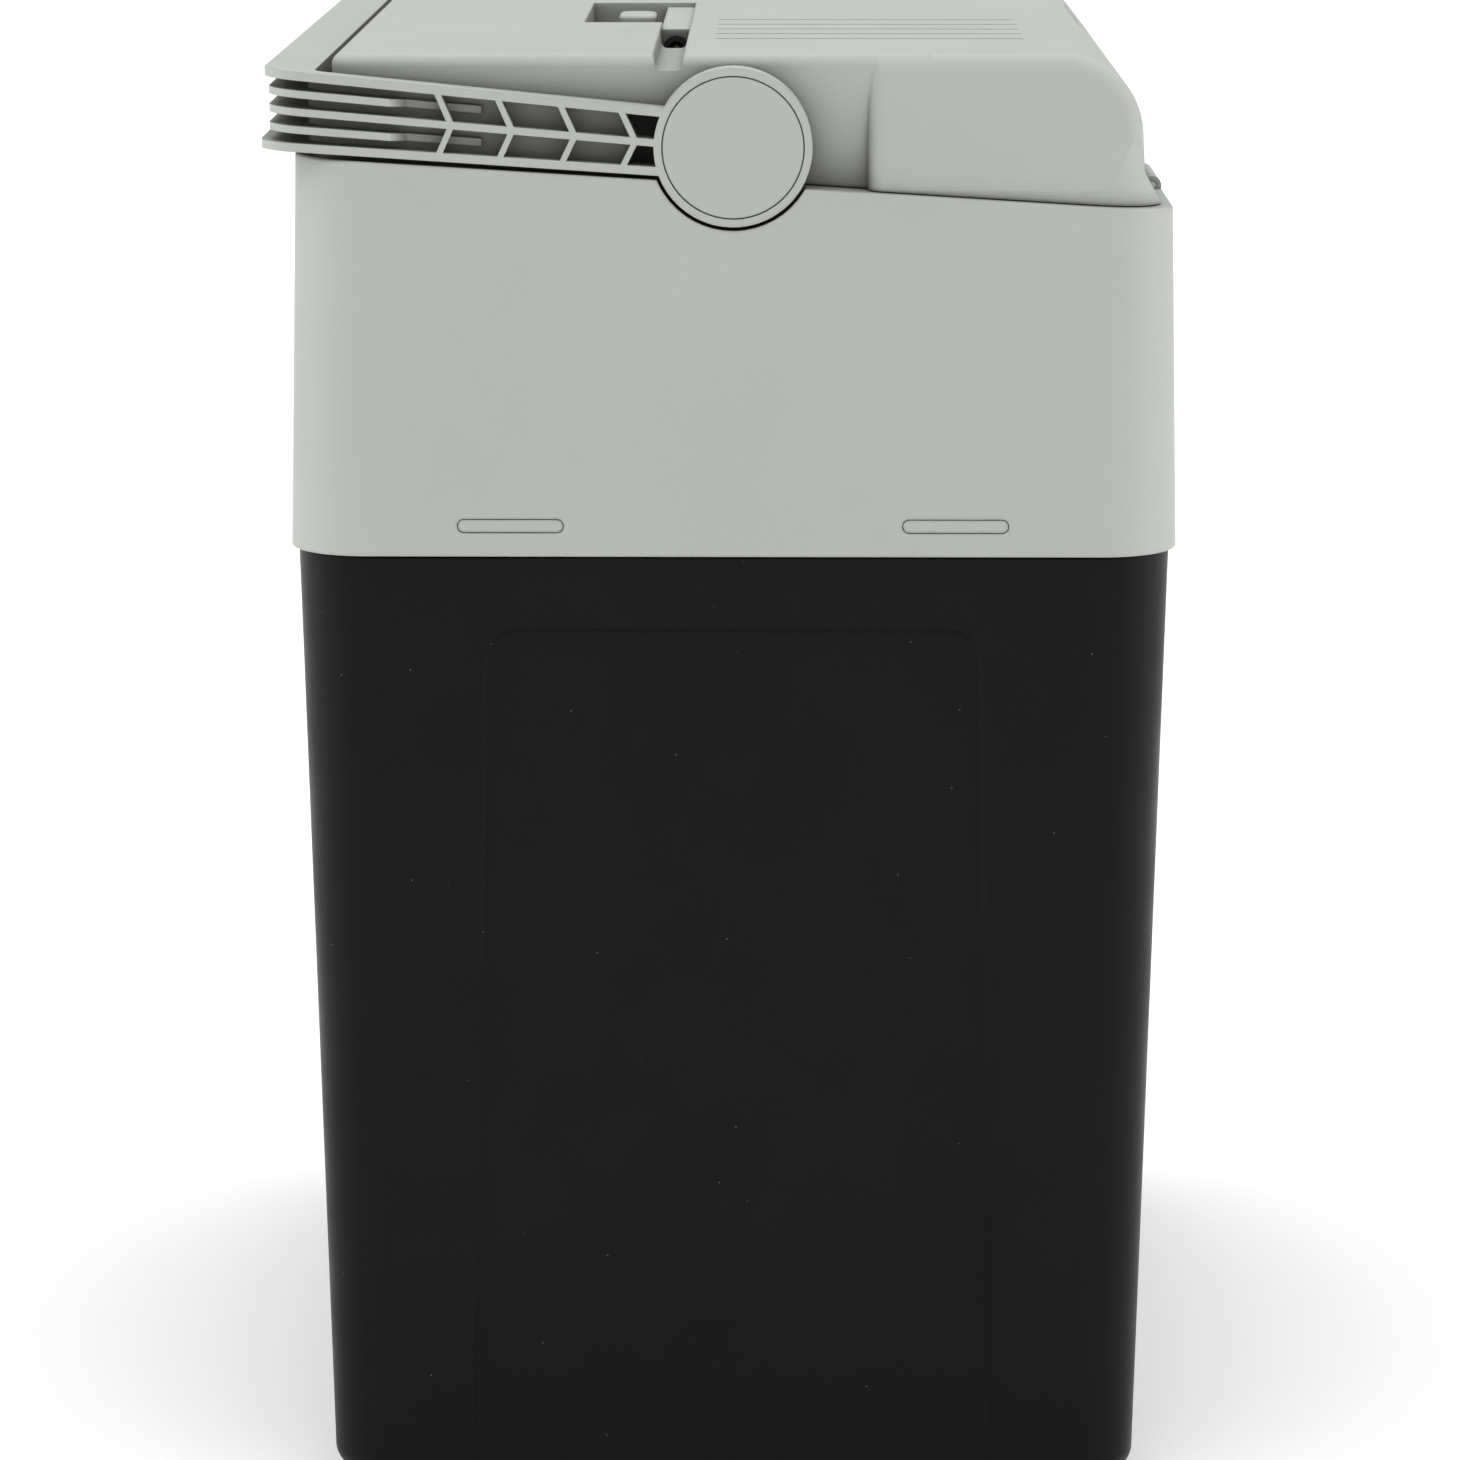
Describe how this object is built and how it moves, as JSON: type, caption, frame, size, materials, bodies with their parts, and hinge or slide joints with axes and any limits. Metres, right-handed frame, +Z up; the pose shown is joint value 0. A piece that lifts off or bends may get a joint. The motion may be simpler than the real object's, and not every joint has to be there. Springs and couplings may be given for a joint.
{
  "type": "electric cool box",
  "caption": "Upright portable thermoelectric cool box: black tapered body, grey upper frame, hinged lid with trough and vents, and a ribbed swing-over carry handle.",
  "frame": {"origin": "centre of the box's plan on the floor plane, midway between the hinge-side and front walls", "axes": "+Z up; X along the width and the handle's pivot axis; the front, where the folded handle rests, faces -Y"},
  "size_m": [0.426, 0.309, 0.502],
  "materials": {
    "grey_plastic": "matte",
    "black_plastic": "satin",
    "white_plastic": "satin",
    "bush_plastic": "satin",
    "rigid_foam": "matte",
    "black_rubber": "matte",
    "grey_rubber": "matte",
    "steel": "satin",
    "aluminium": "satin",
    "brass": "polished",
    "white_ceramic": "matte",
    "circuit_board": "satin"
  },
  "bodies": {
    "case": {"outer_body": "black_plastic", "foot_right_front": "black_rubber", "locking_key_right_front": "grey_plastic", "foot_right_rear": "black_rubber", "locking_key_right_rear": "grey_plastic", "foot_left_front": "black_rubber", "locking_key_left_front": "grey_plastic", "foot_left_rear": "black_rubber", "locking_key_left_rear": "grey_plastic", "foam_core": "rigid_foam", "inner_liner": "white_plastic", "upper_frame": "grey_plastic", "hinge_pin_right": "steel", "pivot_washer_right": "steel", "pivot_screw_right": "steel", "hinge_pin_left": "steel", "pivot_washer_left": "steel", "pivot_screw_left": "steel"},
    "handle": {"carry_handle": "grey_plastic", "hub_cap_right": "grey_plastic", "hub_cap_left": "grey_plastic", "pivot_bush_right": "bush_plastic", "pivot_bush_left": "bush_plastic"},
    "lid": {"lid_shell": "grey_plastic", "exhaust_grille": "grey_plastic", "lid_inner_panel": "white_plastic", "cold_air_cover": "white_plastic", "lid_foam": "rigid_foam", "lid_gasket": "grey_rubber", "lid_screws": "steel", "sink_clamp_screws": "steel", "hot_fan_screws": "steel", "cold_fan_screws": "steel", "hot_heat_sink": "aluminium", "cold_heat_sink": "aluminium", "spacer_block": "aluminium", "board_heat_sink": "aluminium", "peltier_module": "white_ceramic", "hot_fan_frame": "black_plastic", "cold_fan_frame": "black_plastic", "mode_switch": "black_plastic", "power_inlet": "black_plastic", "inlet_contact_pin": "brass", "power_board": "circuit_board", "board_posts": "bush_plastic", "board_transformer": "black_plastic", "board_capacitors": "black_plastic"},
    "hot_wheel": {"hot_fan_impeller": "black_plastic"},
    "cold_wheel": {"cold_fan_impeller": "black_plastic"},
    "slider": {"mode_slider": "grey_plastic"}
  },
  "joints": [
    {"name": "handle_swing", "type": "hinge", "parent": "case", "child": "handle", "pos_m": [0, 0, 0.472], "axis": [-1, 0, 0], "range_deg": [0, 115]},
    {"name": "lid_hinge", "type": "hinge", "parent": "case", "child": "lid", "pos_m": [0, 0.1445, 0.4517], "axis": [-1, 0, 0], "range_deg": [0, 105]},
    {"name": "hot_fan_spin", "type": "hinge", "parent": "lid", "child": "hot_wheel", "pos_m": [0.087, 0.043, 0.49], "axis": [0, 0, 1], "continuous": true},
    {"name": "cold_fan_spin", "type": "hinge", "parent": "lid", "child": "cold_wheel", "pos_m": [0.087, 0.043, 0.414], "axis": [0, 0, 1], "continuous": true},
    {"name": "mode_slide", "type": "slide", "parent": "lid", "child": "slider", "axis": [1, 0, 0], "range_m": [-0.008, 0.008]}
  ]
}
